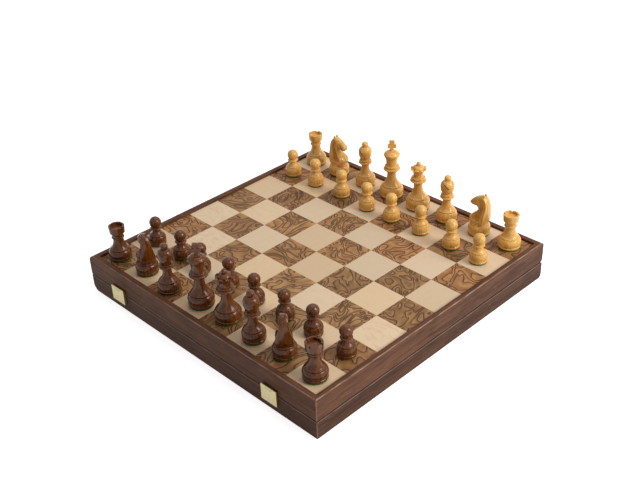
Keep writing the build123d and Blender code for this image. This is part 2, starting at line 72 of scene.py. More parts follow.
# A knight's foot: radius and height in shares of its widest radius and its rise.
FOOT = [
    (0.0, 0.0), (0.90, 0.0), (0.92, 0.0), (0.955, 0.03), (0.97, 0.08), (0.972, 0.14), (0.955, 0.18),
    (0.935, 0.20), (0.955, 0.24), (0.99, 0.36), (1.0, 0.50), (0.98, 0.64), (0.93, 0.76), (0.86, 0.85),
    (0.80, 0.865), (0.785, 0.875), (0.80, 0.90), (0.81, 0.92), (0.80, 0.95), (0.77, 0.975), (0.73, 0.99),
    (0.725, 1.04), (0.72, 1.08), (0.70, 1.09), (0.0, 1.09),
]
FOOT_STATIONS = 150

# The felt under a knight: radius and height in shares of its own. Its radius is a share of the foot's, less
# an inset.
PAD = [(0.0, 0.0), (0.99, 0.0), (1.0, 0.1), (1.0, 1.0), (0.0, 1.0)]
PAD_SHARE = 0.92
PAD_INSET = 0.2 * MM
PAD_AROUND = 64

# A horse's head from its side, on a scale where the knight is TOP high: the throat line and the nape line as
# (forward, height), and the half width's shares at equal steps from the foot to the muzzle.
TOP = 57.5
FRONT = [
    (10.2, 16.2), (11.7, 19.6), (11.8, 23.2), (8.8, 27.2), (5.0, 29.8), (2.2, 32.2), (1.0, 34.4), (1.8, 36.4),
    (4.8, 37.4), (8.4, 37.0), (11.4, 37.4), (13.4, 39.0),
]
BACK = [
    (-10.2, 16.2), (-11.8, 21.0), (-12.6, 27.0), (-13.0, 33.0), (-13.2, 39.0), (-12.4, 45.0), (-10.0, 50.4),
    (-5.6, 53.8), (0.8, 53.2), (6.2, 50.4), (10.8, 46.6), (13.7, 43.2),
]
WIDTHS = [1.0, 1.04, 1.0, 0.84, 0.68, 0.58, 0.54, 0.54, 0.54, 0.48, 0.42, 0.36]

# Swellings and hollows of the head: height, then centre and width along u, then centre and width across s.
FEATURES = {
    "cheek": (0.16, 0.70, 0.06, 0.40, 0.20),
    "eye": (0.16, 0.745, 0.018, 0.72, 0.07),
    "hollow under the eye": (-0.20, 0.81, 0.05, 0.46, 0.16),
    "nose": (0.18, 0.955, 0.03, 0.62, 0.18),
    "nostril": (-0.34, 0.97, 0.014, 0.70, 0.08),
}
NOSE_TIP = np.array([0.7, 0.0, -0.2]) * MM

# An ear, on the head's scale: its foot, how far its tip lies from there, both as (forward, outward, up), its
# radius at the foot, and how much it is stretched from front to back and squeezed from side to side.
EAR_FOOT = (-6.2, 2.1, 49.5)
EAR_RISE = (1.0, 0.7, 7.8)
EAR_RADIUS = 2.4
EAR_STRETCH, EAR_SQUEEZE = 1.1, 0.7

# The degrees by which a knight is turned from looking along +X.
KNIGHT_TURNS = {
    "light_knight_left": 0,
    "light_knight_right": 180,
    "dark_knight_left": 160,
    "dark_knight_right": 140,
}

# The lights: where each stands and how wide it is. They face the middle of the board.
LIGHTS = {
    "key": ((1.6, 0.6, 1.2), 1.1),
    "fill": ((-1.2, -1.3, 1.0), 1.3),
    "top": ((-0.3, 0.6, 2.0), 1.6),
}
LIT_POINT = (0, 0, 50 * MM)

CAMERA_PLACE = (0.7457, -0.7092, 0.7112)
CAMERA_FORWARD = np.array([-0.6079, 0.5849, -0.5370])
CAMERA_RIGHT = np.array([0.7081, 0.7053, -0.0334])
SENSOR_WIDTH = 36.0

FLOOR_REACH = 6.0
FLOOR_DROP = 0.2 * MM
FLOOR_GLOW = 0.8


def srgb(red, green, blue):
    """A colour given in 0 to 255 display values, as Blender's linear values."""
    values = np.array([red, green, blue]) / 255
    linear = np.where(values <= 0.04045, values / 12.92, ((values + 0.055) / 1.055) ** 2.4)
    return tuple(float(v) for v in linear)


def colour_property(name, description, red, green, blue):
    return FloatVectorProperty(name=name, description=description, subtype="COLOR", size=3, min=0, max=1,
                               default=srgb(red, green, blue))


def length_property(name, description, millimetres):
    return FloatProperty(name=name, description=description, subtype="DISTANCE", unit="LENGTH",
                         default=millimetres * MM, min=0)


def power_property(name, description, watts):
    return FloatProperty(name=name, description=description, unit="POWER", default=watts, min=0)


def count_property(name, description, count):
    return IntProperty(name=name, description=description, default=count, min=24)


# ------------------------------------------------------------------------------------------ settings
class RailSettings(bpy.types.PropertyGroup):
    wood: colour_property("Rail wood", "Main colour of the rails", 112, 74, 52)
    streak: colour_property("Rail streaks", "Dark grain lines of the rails", 38, 20, 14)
    # Colour of the grain's pale flecks and of the painted highlight along the rails' outer edges, then the
    # reach of that painted highlight.
    pale_fleck_and_highlight: colour_property("Pale flecks and highlights", "Colour of pale flecks and of the painted highlight along the edges", 172, 140, 122)
    edge_highlight_reach: length_property("Edge highlight", "Reach of the painted highlight along the outer edges", 1.2)
    base_tone: FloatProperty(name="Base tone", description="Brightness of the base's rails against the lid's",
                             default=0.72, min=0, max=1, subtype="FACTOR")
    pore_spacing: length_property("Pore spacing", "Distance between fine grain lines", 0.7)
    seam_shade: length_property("Seam shade", "Reach of the dark line on both sides of the seam", 1.1)


class BoardSettings(bpy.types.PropertyGroup):
    square: length_property("Square", "Side of one square", 48.0)
    trimmed: length_property("Trimmed edge", "Strip missing from the outer squares", 1.3)
    light: colour_property("Light veneer", "Colour of the light squares", 223, 200, 167)
    light_shade: colour_property("Light veneer figure", "Darker figure in the light squares", 208, 178, 138)
    burl: colour_property("Burl veneer", "Ground colour of the burl squares", 180, 141, 98)
    burl_shade: colour_property("Burl veneer shade", "Darker ground of the burl squares", 138, 101, 67)
    burl_line: colour_property("Burl lines", "Colour of the burl's contour lines", 68, 38, 22)
    line_spacing: length_property("Line spacing", "Typical distance between contour lines", 4.0)


class MenSettings(bpy.types.PropertyGroup):
    light: colour_property("Light men", "Colour of the light men", 236, 184, 96)
    light_grain: colour_property("Light men's grain", "Grain of the light men", 208, 146, 62)
    dark: colour_property("Dark men", "Colour of the dark men", 114, 60, 14)
    dark_grain: colour_property("Dark men's grain", "Grain of the dark men", 52, 26, 6)
    felt: colour_property("Men's felt", "Colour of the pads under the men", 74, 120, 40)
    felt_height: length_property("Felt height", "Thickness of the pads under the men", 1.6)


class KnightSettings(bpy.types.PropertyGroup):
    foot_radius: length_property("Foot radius", "Widest radius of a knight's foot", 14.1)
    foot_rise: length_property("Foot rise", "Height of a knight's foot above its felt", 15.4)
    height: length_property("Height", "Height of a knight above its felt", 56.9)
    half_width: length_property("Half width", "Half the thickness of the neck at its base", 9.8)
    stations: count_property("Stations", "Rows of points from the neck to the muzzle", 120)
    around: count_property("Around", "Points round the foot and the neck", 96)


class BrassSettings(bpy.types.PropertyGroup):
    brass: colour_property("Brass", "Colour of the clasps and the hinges", 186, 174, 132)


class PanelSettings(bpy.types.PropertyGroup):
    panel: colour_property("Panel wood", "Colour of the carrier and the bottom panel", 150, 112, 76)
    panel_grain: colour_property("Panel grain", "Grain of the panels", 112, 78, 50)
    lining: colour_property("Lining", "Colour of the linings", 34, 84, 52)


class StageSettings(bpy.types.PropertyGroup):
    floor: colour_property("Floor", "Colour of the floor", 238, 238, 238)
    lens: FloatProperty(name="Lens", description="Focal length of the camera", unit="CAMERA", default=55.2,
                        min=1)
    key: power_property("Key light", "Power of the key light", 34.0)
    fill: power_property("Fill light", "Power of the fill light", 0.6)
    top: power_property("Top light", "Power of the top light", 14.0)
    world: FloatProperty(name="World", description="Strength of the surroundings' light", default=0.22, min=0)


SETTINGS = {
    "chess_rails": RailSettings,
    "chess_board": BoardSettings,
    "chess_men": MenSettings,
    "chess_knights": KnightSettings,
    "chess_brass": BrassSettings,
    "chess_panels": PanelSettings,
    "chess_stage": StageSettings,
}


# ------------------------------------------------------------------------------------------ materials
class Finish:
    """A material under construction, with short calls for the nodes that wood, felt and brass need."""

    def __init__(self, name, roughness=0.5, metallic=0.0, specular=0.5):
        self.material = bpy.data.materials.new(name)
        self.material.use_nodes = True
        self.nodes = self.material.node_tree.nodes
        self.links = self.material.node_tree.links
        self.nodes.clear()
        self.surface = self.nodes.new("ShaderNodeBsdfPrincipled")
        self.surface.inputs["Roughness"].default_value = roughness
        self.surface.inputs["Metallic"].default_value = metallic
        self.surface.inputs["Specular IOR Level"].default_value = specular
        output = self.nodes.new("ShaderNodeOutputMaterial")
        self.links.new(self.surface.outputs[0], output.inputs[0])
        self.place = self.nodes.new("ShaderNodeTexCoord").outputs["Object"]

    def put(self, socket, value):
        """Links a node's output to a socket, or sets the socket to a number, a vector or a colour."""
        if isinstance(value, bpy.types.NodeSocket):
            self.links.new(value, socket)
        elif hasattr(value, "__len__") and len(value) == 3 and len(socket.default_value) == 4:
            socket.default_value = (*value, 1)
        else:
            socket.default_value = value

    def paint(self, colour):
        self.put(self.surface.inputs["Base Color"], colour)

    def gloss(self, roughness):
        self.put(self.surface.inputs["Roughness"], roughness)

    def bump(self, height, distance, strength):
        node = self.nodes.new("ShaderNodeBump")
        node.inputs["Strength"].default_value = strength
        node.inputs["Distance"].default_value = distance
        self.put(node.inputs["Height"], height)
        self.links.new(node.outputs[0], self.surface.inputs["Normal"])

    def calc(self, operation, a, b=0.0):
        node = self.nodes.new("ShaderNodeMath")
        node.operation = operation
        self.put(node.inputs[0], a)
        self.put(node.inputs[1], b)
        return node.outputs[0]

    def vector(self, operation, a, b=(0, 0, 0)):
        node = self.nodes.new("ShaderNodeVectorMath")
        node.operation = operation
        self.put(node.inputs[0], a)
        self.put(node.inputs[1], b)
        return node.outputs["Vector"]

    def part(self, vector, axis):
        node = self.nodes.new("ShaderNodeSeparateXYZ")
        self.put(node.inputs[0], vector)
        return node.outputs[axis]

    def join(self, x, y, z):
        node = self.nodes.new("ShaderNodeCombineXYZ")
        for socket, value in zip(node.inputs, (x, y, z)):
            self.put(socket, value)
        return node.outputs[0]

    def turn(self, vector, angle):
        """vector turned about Z by angle, in radians."""
        node = self.nodes.new("ShaderNodeVectorRotate")
        node.rotation_type = "Z_AXIS"
        self.put(node.inputs["Vector"], vector)
        self.put(node.inputs["Angle"], angle)
        return node.outputs[0]

    def noise(self, vector, scale=1.0, detail=3.0, roughness=0.5, distortion=0.0):
        node = self.nodes.new("ShaderNodeTexNoise")
        self.put(node.inputs["Vector"], vector)
        node.inputs["Scale"].default_value = scale
        node.inputs["Detail"].default_value = detail
        node.inputs["Roughness"].default_value = roughness
        node.inputs["Distortion"].default_value = distortion
        return node.outputs["Fac"]

    def chance(self, vector):
        """A random value and colour that are the same wherever vector is the same."""
        node = self.nodes.new("ShaderNodeTexWhiteNoise")
        self.put(node.inputs["Vector"], vector)
        return node.outputs["Value"], node.outputs["Color"]

    def span(self, value, low, high, start=0.0, end=1.0):
        """value mapped smoothly from low..high to start..end, and held there outside."""
        node = self.nodes.new("ShaderNodeMapRange")
        node.interpolation_type = "SMOOTHSTEP"
        self.put(node.inputs["Value"], value)
        for name, number in (("From Min", low), ("From Max", high), ("To Min", start), ("To Max", end)):
            self.put(node.inputs[name], number)
        return node.outputs["Result"]

    def blend(self, factor, a, b, mode="MIX"):
        node = self.nodes.new("ShaderNodeMix")
        node.data_type = "RGBA"
        node.blend_type = mode
        self.put(node.inputs["Factor"], factor)
        self.put(node.inputs[6], a)
        self.put(node.inputs[7], b)
        return node.outputs[2]

    def toned(self, colour, tone):
        """colour made darker or brighter by a factor."""
        return self.blend(1.0, colour, self.join(tone, tone, tone), "MULTIPLY")


def stretched(finish, axis, length, across):
    """Object coordinates divided by length along one axis and by across along the other two, so that noise of
    scale 1 gives streaks of that length and spacing."""
    sizes = [across, across, across]
    sizes[axis] = length
    return finish.vector("DIVIDE", finish.place, sizes)


def seam_height():
    """The height at which the lid meets the base."""
    return (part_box("lid_rail_front")[0][Z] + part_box("base_rail_front")[1][Z]) / 2


def edge_distance(finish, height, settings):
    """How far a point of the rails lies from the nearest edge with a painted highlight. On all sides but the
    back, these run along the lid's top and along the base's rim, just below the seam's painted shade. One runs
    up the front right corner."""
    low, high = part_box("lid_rail_front")[0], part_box("lid_rail_back")[1]
    from_left = finish.calc("SUBTRACT", finish.part(finish.place, X), low[X])
    from_right = finish.calc("SUBTRACT", high[X], finish.part(finish.place, X))
    from_front = finish.calc("SUBTRACT", finish.part(finish.place, Y), low[Y])
    from_side = finish.calc("MINIMUM", finish.calc("MINIMUM", from_left, from_right), from_front)
    from_top = finish.calc("ABSOLUTE", finish.calc("SUBTRACT", height, high[Z]))
    base_rim = seam_height() - 1.3 * settings.seam_shade
    from_base_rim = finish.calc("ABSOLUTE", finish.calc("SUBTRACT", height, base_rim))
    from_rim = finish.calc("MINIMUM", from_top, from_base_rim)
    from_corner = finish.calc("MAXIMUM", from_right, from_front)
    return finish.calc("MINIMUM", finish.calc("MAXIMUM", from_rim, from_side), from_corner)


def rail_finish(name, axis, settings):
    """Dark close-grained wood with a soft satin lacquer. Its streaks, pores and pale flecks run along one
    axis, a painted highlight runs along its outer edges, the base is darker than the lid, and painted shade
    follows the seam."""
    finish = Finish(name, specular=0.07)
    height = finish.part(finish.place, Z)

    band = finish.noise(stretched(finish, axis, 110 * MM, 6 * MM), detail=4.0, roughness=0.55, distortion=0.6)
    fine_streaks = stretched(finish, axis, 30 * MM, settings.pore_spacing)
    fine = finish.noise(fine_streaks, roughness=0.6, distortion=0.2)
    pore = finish.span(fine, 0.50, 0.68)
    colour = finish.blend(finish.span(band, 0.35, 0.70, 0.0, 0.55), settings.wood, settings.streak)
    colour = finish.blend(finish.calc("MULTIPLY", pore, 0.6), colour, settings.streak)
    mottle = finish.noise(finish.place, scale=22.0, detail=2.0)
    colour = finish.toned(colour, finish.span(mottle, 0.3, 0.7, 0.86, 1.1))

    fleck_width = 1.3 * settings.pore_spacing
    fleck = finish.noise(stretched(finish, axis, 16 * MM, fleck_width), detail=2.0, roughness=0.6)
    # Painted highlight: pale lines along the lid's top edge, the base's rim below the seam and the front right
    # corner, broken up by the flecks. The flecks elsewhere are the grain's own.
    edge = finish.span(edge_distance(finish, height, settings), 0.3 * MM, settings.edge_highlight_reach, 1.0, 0.0)
    pale_fleck_and_highlight = finish.calc("MULTIPLY", finish.span(fleck, 0.36, 0.6, 0.2, 0.9), edge)
    pale = finish.calc("ADD", pale_fleck_and_highlight, finish.span(fleck, 0.6, 0.78, 0.0, 0.4))
    colour = finish.blend(pale, colour, settings.pale_fleck_and_highlight)

    in_base = finish.calc("LESS_THAN", height, seam_height())
    darkening = finish.calc("MULTIPLY", in_base, 1.0 - settings.base_tone)
    colour = finish.toned(colour, finish.calc("SUBTRACT", 1.0, darkening))
    # Painted shade: the wood is darkened within seam_shade of the seam, standing in for the shade in the seam.
    from_seam = finish.calc("ABSOLUTE", finish.calc("SUBTRACT", height, seam_height()))
    seam = finish.span(from_seam, 0.5 * settings.seam_shade, settings.seam_shade, 0.25, 1.0)
    finish.paint(finish.toned(colour, seam))
    finish.gloss(finish.span(fine, 0.3, 0.7, 0.42, 0.56))
    finish.bump(finish.calc("SUBTRACT", 1.0, pore), distance=0.08 * MM, strength=0.5)
    return finish.material


def square_chance(finish, settings):
    """A random value and colour for the square that a point lies in."""
    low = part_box("burl_squares")[0]
    corner = (low[X] - settings.trimmed, low[Y] - settings.trimmed, 0.0)
    from_corner = finish.vector("SUBTRACT", finish.place, corner)
    in_squares = finish.vector("DIVIDE", from_corner, (settings.square, settings.square, 1.0))
    square = finish.vector("FLOOR", in_squares)
    return finish.chance(finish.join(finish.part(square, X), finish.part(square, Y), 0.5))


def moved(finish, colour, reach):
    """Object coordinates moved by up to reach along each axis, in each square another way, so that no two
    squares show the same figure."""
    return finish.vector("ADD", finish.place, finish.vector("MULTIPLY", colour, (reach, reach, reach)))


def light_veneer(settings):
    """Pale veneer: each square has its own tone, its own warmth, fine grain along Y and a faint figure."""
    finish = Finish("light_veneer", roughness=0.42, specular=0.14)
    value, colour = square_chance(finish, settings)
    place = moved(finish, colour, 3.0)
    grain_size, figure_size = (1.2 * MM, 35 * MM, 20 * MM), (18 * MM, 9 * MM, 20 * MM)
    grain = finish.noise(finish.vector("DIVIDE", place, grain_size), roughness=0.6, distortion=0.3)
    figure = finish.noise(finish.vector("DIVIDE", place, figure_size), roughness=0.55, distortion=1.4)
    strength = finish.span(value, 0.55, 1.0, 0.12, 0.8)
    amount = finish.calc("MULTIPLY", finish.span(figure, 0.42, 0.75), strength)
    tint = finish.blend(amount, settings.light, settings.light_shade)
    tint = finish.blend(finish.span(grain, 0.5, 0.75, 0.0, 0.22), tint, settings.light_shade)
    cool, warm = srgb(255, 252, 254), srgb(255, 246, 238)
    warmth = finish.blend(finish.span(finish.part(colour, Y), 0.2, 0.9), cool, warm)
    tint = finish.blend(1.0, tint, warmth, "MULTIPLY")
    finish.paint(finish.toned(tint, finish.span(value, 0.0, 1.0, 0.90, 1.06)))
    finish.bump(grain, distance=0.03 * MM, strength=0.3)
    return finish.material


def contour_height(finish, place):
    """The field whose height lines the burl shows: bent smooth noise with a little fine noise on it."""
    smooth = finish.noise(place, detail=1.0, roughness=0.3, distortion=1.1)
    fine = finish.noise(place, scale=6.0, detail=2.0)
    lines = finish.calc("MULTIPLY", smooth, FIGURE_LINES)
    return finish.calc("ADD", lines, finish.calc("MULTIPLY", fine, FIGURE_FINE))


def squared_slope(finish, place, height, axis, size):
    """The square of the field's rise per metre along an axis on which the figure has the given size."""
    step = [0, 0, 0]
    step[axis] = SLOPE_STEP
    rise = finish.calc("SUBTRACT", contour_height(finish, finish.vector("ADD", place, step)), height)
    return finish.calc("POWER", finish.calc("DIVIDE", rise, SLOPE_STEP * size), 2.0)


def burl_veneer(settings):
    """Burl veneer: dark contour lines of a slowly varying field, like the height lines of a map. A point's
    distance from the nearest line is its height above it divided by the slope, so the lines are equally thin
    everywhere. The ground darkens towards each line on one side, and every square shows another place, turned
    another way."""
    finish = Finish("burl_veneer", roughness=0.42, specular=0.14)
    value, colour = square_chance(finish, settings)
    nearly_full_turn = 6.28
    place = finish.turn(moved(finish, colour, 5.0), finish.calc("MULTIPLY", value, nearly_full_turn))
    along, across = settings.line_spacing * FIGURE_ALONG, settings.line_spacing * FIGURE_ACROSS
    place = finish.vector("DIVIDE", place, (along, across, 50 * MM))

    height = contour_height(finish, place)
    slope_along = squared_slope(finish, place, height, X, along)
    slope_across = squared_slope(finish, place, height, Y, across)
    slope = finish.calc("POWER", finish.calc("ADD", slope_along, slope_across), 0.5)
    above_line = finish.calc("ABSOLUTE", finish.calc("SUBTRACT", finish.calc("FRACT", height), 0.5))
    from_line = finish.calc("DIVIDE", above_line, finish.calc("MAXIMUM", slope, 1.0))
    uneven = finish.noise(place, scale=2.1, detail=2.0)
    line_end = finish.span(uneven, 0.3, 0.7, 0.75 * MM, 1.5 * MM)
    line = finish.span(from_line, 0.25 * MM, line_end, 1.0, 0.0)

    zone = finish.calc("FRACT", finish.calc("ADD", height, 0.5))
    ground = finish.blend(finish.span(uneven, 0.36, 0.64, 0.0, 0.5), settings.burl, settings.burl_shade)
    ground = finish.blend(finish.span(zone, 0.0, 0.75, 0.9, 0.0), ground, settings.burl_shade)
    olive, amber = srgb(250, 246, 232), srgb(255, 234, 210)
    ground = finish.blend(0.8, ground, finish.blend(finish.part(colour, Z), olive, amber), "MULTIPLY")
    ground = finish.toned(ground, finish.span(finish.part(colour, X), 0.0, 1.0, 0.84, 1.16))
    fibre = finish.noise(finish.vector("MULTIPLY", place, (7.0, 12.0, 1.0)), roughness=0.65, distortion=0.8)
    ground = finish.blend(finish.span(fibre, 0.45, 0.72, 0.0, 0.14), ground, settings.burl_line)
    finish.paint(finish.blend(finish.calc("MULTIPLY", line, 0.88), ground, settings.burl_line))
    finish.bump(fibre, distance=0.03 * MM, strength=0.3)
    return finish.material


def turned_finish(name, wood, grain, felt, felt_top, roughness, specular):
    """Polished turned wood with upright grain, and green felt below felt_top."""
    finish = Finish(name, roughness=roughness, specular=specular)
    streak = finish.noise(stretched(finish, Z, 30 * MM, 2.2 * MM), detail=4.0, roughness=0.6, distortion=0.8)
    fleck = finish.noise(stretched(finish, Z, 6 * MM, 0.6 * MM), detail=2.0, roughness=0.6)
    cloud = finish.noise(finish.place, scale=40.0, detail=2.0)
    colour = finish.blend(finish.span(streak, 0.36, 0.74), wood, grain)
    colour = finish.blend(finish.span(fleck, 0.55, 0.75, 0.0, 0.25), colour, grain)
    colour = finish.toned(colour, finish.span(cloud, 0.3, 0.7, 0.92, 1.06))
    in_felt = finish.calc("LESS_THAN", finish.part(finish.place, Z), felt_top)
    fuzz = finish.noise(finish.place, scale=2500.0, detail=2.0)
    pad = finish.blend(finish.span(fuzz, 0.3, 0.7), felt, [0.45 * v for v in felt])
    finish.paint(finish.blend(in_felt, colour, pad))
    finish.gloss(finish.calc("ADD", roughness, finish.calc("MULTIPLY", in_felt, 0.65)))
    return finish.material


def felt_finish(name, colour):
    """Flock felt: short fibres in every direction, a little lighter at a glancing angle."""
    finish = Finish(name, roughness=0.95, specular=0.15)
    fuzz = finish.noise(finish.place, scale=1800.0, roughness=0.7)
    patch = finish.noise(finish.place, scale=60.0, detail=2.0)
    tint = finish.blend(finish.span(fuzz, 0.3, 0.7, 0.0, 0.7), colour, [0.4 * v for v in colour])
    finish.paint(finish.toned(tint, finish.span(patch, 0.3, 0.7, 0.9, 1.12)))
    finish.surface.inputs["Sheen Weight"].default_value = 0.25
    finish.surface.inputs["Sheen Roughness"].default_value = 0.5
    finish.bump(fuzz, distance=0.2 * MM, strength=0.6)
    return finish.material


def panel_finish(settings):
    """Plain wood with its grain along X."""
    finish = Finish("panel_wood", roughness=0.55, specular=0.3)
    grain = finish.noise(stretched(finish, X, 140 * MM, 4 * MM), detail=4.0, roughness=0.6, distortion=0.9)
    pore = finish.noise(stretched(finish, X, 12 * MM, 0.5 * MM), detail=2.0)
    tint = finish.blend(finish.span(grain, 0.35, 0.7), settings.panel, settings.panel_grain)
    finish.paint(finish.blend(finish.span(pore, 0.55, 0.7, 0.0, 0.4), tint, settings.panel_grain))
    finish.bump(pore, distance=0.05 * MM, strength=0.4)
    return finish.material


def brass_finish(name, colour, roughness):
    """Lacquered brass, faintly brushed, and a little uneven in colour and gloss."""
    finish = Finish(name, roughness=roughness, metallic=1.0)
    brushed = finish.noise(stretched(finish, Z, 0.2 * MM, 6 * MM), detail=2.0)
    tarnish = finish.noise(finish.place, scale=260.0)
    finish.paint(finish.blend(finish.span(tarnish, 0.45, 0.8, 0.0, 0.35), colour, [0.6 * v for v in colour]))
    finish.gloss(finish.span(brushed, 0.3, 0.7, roughness - 0.06, roughness + 0.08))
    finish.bump(brushed, distance=0.02 * MM, strength=0.3)
    return finish.material


# ------------------------------------------------------------------------------------------ surfaces
def closed_mesh(name, points, capped):
    """A closed mesh over rings of points, shape (rings, points of a ring, 3). Quads join neighbours. Where
    the end rings are capped, one face closes each. Otherwise each is a pole, whose points are merged. The
    faces point outwards."""
    rings, around = points.shape[:2]
    index = np.arange(rings * around).reshape(rings, around)
    beside = np.roll(index, -1, axis=1)
    quads = np.stack([index[:-1], beside[:-1], beside[1:], index[1:]], axis=-1)
    faces = quads.reshape(-1, 4).tolist()
    if capped:
        faces += [index[0, ::-1].tolist(), index[-1].tolist()]
    mesh = bpy.data.meshes.new(name)
    mesh.from_pydata(points.reshape(-1, 3).tolist(), [], faces)
    shell = bmesh.new()
    shell.from_mesh(mesh)
    bmesh.ops.remove_doubles(shell, verts=shell.verts, dist=0.001 * MM)
    bmesh.ops.recalc_face_normals(shell, faces=shell.faces)
    shell.to_mesh(mesh)
    shell.free()
    return mesh


def joined(name, parts):
    """One smooth-shaded mesh out of several."""
    mesh = bpy.data.meshes.new(name)
    whole = bmesh.new()
    for part in parts:
        whole.from_mesh(part)
        bpy.data.meshes.remove(part)
    whole.to_mesh(mesh)
    whole.free()
    mesh.shade_smooth()
    return mesh


def smooth_path(points, count):
    """Points spread evenly by index along a smooth curve through the given ones: a Catmull-Rom spline, where
    each span is the cubic whose end slopes are half the distance between the neighbours."""
    points = np.asarray(points, dtype=float)
    padded = np.vstack([2 * points[0] - points[1], points, 2 * points[-1] - points[-2]])
    t = np.linspace(0, len(points) - 1, count)
    i = np.minimum(t.astype(int), len(points) - 2)
    f = (t - i)[:, None]
    a, b, c, d = padded[i], padded[i + 1], padded[i + 2], padded[i + 3]
    return 0.5 * (2 * b + (c - a) * f + (2 * a - 5 * b + 4 * c - d) * f**2 + (3 * b - a - 3 * c + d) * f**3)


def bump_at(value, centre, width):
    """1 at centre, falling to 0 like a bell of the given width."""
    return np.exp(-(((value - centre) / width) ** 2))


def step_at(value, centre, width):
    """0 below centre and 1 above it, changing smoothly over about width."""
    return 0.5 + 0.5 * np.tanh((value - centre) / width)


def full_turn(count):
    return np.linspace(0, 2 * np.pi, count, endpoint=False)


def turned_surface(profile, around):
    """A profile of (radius, height) carried round the axis Z: x = radius cos a, y = radius sin a."""
    radius, height = profile[:, :1], profile[:, 1:]
    angle = full_turn(around)
    return np.stack([radius * np.cos(angle), radius * np.sin(angle), height + 0 * angle], axis=-1)


def pad_surface(settings, felt):
    """The felt under a knight."""
    radius = settings.foot_radius * PAD_SHARE - PAD_INSET
    return turned_surface(np.array(PAD) * (radius, felt), PAD_AROUND)


def foot_surface(settings, felt):
    """A turned foot on its felt: a smooth curve through FOOT's points, carried round the axis."""
    profile = smooth_path(FOOT, FOOT_STATIONS) * (settings.foot_radius, settings.foot_rise) + (0, felt)
    profile[:, 0] = np.clip(profile[:, 0], 0.0, None)
    return turned_surface(profile, settings.around)


def head_surface(settings, felt):
    """A horse's neck and head, carried from the foot to the muzzle. Row u joins a point of the throat line to
    one of the nape line; across a row, s runs from the throat, 0, to the nape, 1, and the half width is
    w(u) * p(s, u): p is a rounded section on the head, and on the neck it has a crisp throat edge, a scooped
    flank and a raised mane. The features and the mouth are bell-shaped swellings and grooves added to it."""
    scale = settings.height / TOP
    rows, columns = settings.stations, settings.around // 2
    front = smooth_path(FRONT, rows) * scale
    back = smooth_path(BACK, rows) * scale
    u = np.linspace(0, 1, rows)[:, None]
    v = np.linspace(0, np.pi, columns)[None, :]
    s = (1 - np.cos(v)) / 2
    x = front[:, :1] * (1 - s) + back[:, :1] * s
    z = front[:, 1:] * (1 - s) + back[:, 1:] * s

    head = step_at(u, 0.66, 0.04)
    rounded = np.sqrt(np.clip(4 * s * (1 - s), 0, 1)) ** 0.75
    edge = np.clip(s / 0.10, 0, 1) ** 0.5 * np.clip((1 - s) / 0.06, 0, 1) ** 0.5
    mane = step_at(s, 0.74 - 0.10 * bump_at(u, 0.5, 0.3), 0.012)
    scoop = 0.62 * step_at(u, 0.085, 0.014) - 0.30 * step_at(u, 0.42, 0.12)
    neck = edge * (0.94 - scoop * step_at(s, 0.36, 0.16) * (1 - mane))
    share = rounded * head + neck * (1 - head)
    for height, u_centre, u_width, s_centre, s_width in FEATURES.values():
        share = share + height * bump_at(u, u_centre, u_width) * bump_at(s, s_centre, s_width)
    mouth = 0.34 * bump_at(s, 0.34, 0.05) * step_at(u, 0.90, 0.02)
    share = share - mouth

    width = np.interp(u, np.linspace(0, 1, len(WIDTHS)), WIDTHS) * settings.half_width
    strands = 0.12 * MM * np.sin(u * 75) * step_at(s, 0.82, 0.03) * (1 - head) * step_at(u, 0.08, 0.02)
    y = width * np.clip(share, 0.0, None) + strands * edge
    half = np.stack([x, y, z], axis=-1)
    other = half[:, 1:-1][:, ::-1] * np.array([1, -1, 1])
    points = np.concatenate([half, other], axis=1)

    muzzle = points[-1].mean(axis=0)
    nose = [muzzle + (points[-1] - muzzle) * k + NOSE_TIP * (1 - k) for k in (0.8, 0.5, 0.2)]
    points = np.concatenate([points, np.stack(nose)], axis=0)
    points[..., Z] += felt
    return points


def ear_surface(side, settings, felt, rows=14, around=20):
    """A pointed ear: rings that shrink by the square root of the distance from the tip, flattened from side
    to side and leaning forward and outward as they rise."""
    scale = settings.height / TOP
    t = np.linspace(0, 1, rows)[:, None]
    angle = full_turn(around)
    radius = EAR_RADIUS * np.sqrt(np.clip(1 - t, 0.0025, 1)) * scale
    forward, outward, up = [(foot + rise * t) * scale for foot, rise in zip(EAR_FOOT, EAR_RISE)]
    x = forward + radius * EAR_STRETCH * np.cos(angle)
    y = side * outward + radius * EAR_SQUEEZE * np.sin(angle)
    z = felt + up + 0 * angle
    return np.stack([x, y, z], axis=-1)


def knight_mesh(name, settings, felt):
    """A knight on its felt, standing at the origin and looking along +X."""
    return joined(name, [
        closed_mesh("pad", pad_surface(settings, felt), capped=False),
        closed_mesh("foot", foot_surface(settings, felt), capped=False),
        closed_mesh("head", head_surface(settings, felt), capped=True),
        closed_mesh("ear", ear_surface(1, settings, felt), capped=True),
        closed_mesh("ear", ear_surface(-1, settings, felt), capped=True),
    ])


# ------------------------------------------------------------------------------------------ placing
def dress(nodes, material):
    """Gives CAD nodes a finish in place of their plain colour."""
    for name in nodes:
        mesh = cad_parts[name].data
        mesh.materials.clear()
        mesh.materials.append(material)


def add_piece(name, mesh, material, body, node):
    """A new piece on a CAD body, standing for a CAD node."""
    mesh.materials.append(material)
    piece = bpy.data.objects.new(name, mesh)
    bpy.context.scene.collection.objects.link(piece)
    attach(piece, body)
    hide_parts(node)


def knight_place(name):
    """Where a knight stands: the middle of the mesh points in its felt's lowest half millimetre."""
    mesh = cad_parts[name].data
    points = np.empty(len(mesh.vertices) * 3)
    mesh.vertices.foreach_get("co", points)
    points = points.reshape(-1, 3)
    felt = points[points[:, Z] < points[:, Z].min() + 0.5 * MM]
    centre = (felt.min(axis=0) + felt.max(axis=0)) / 2
    return (centre[X], centre[Y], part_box(name)[0][Z])


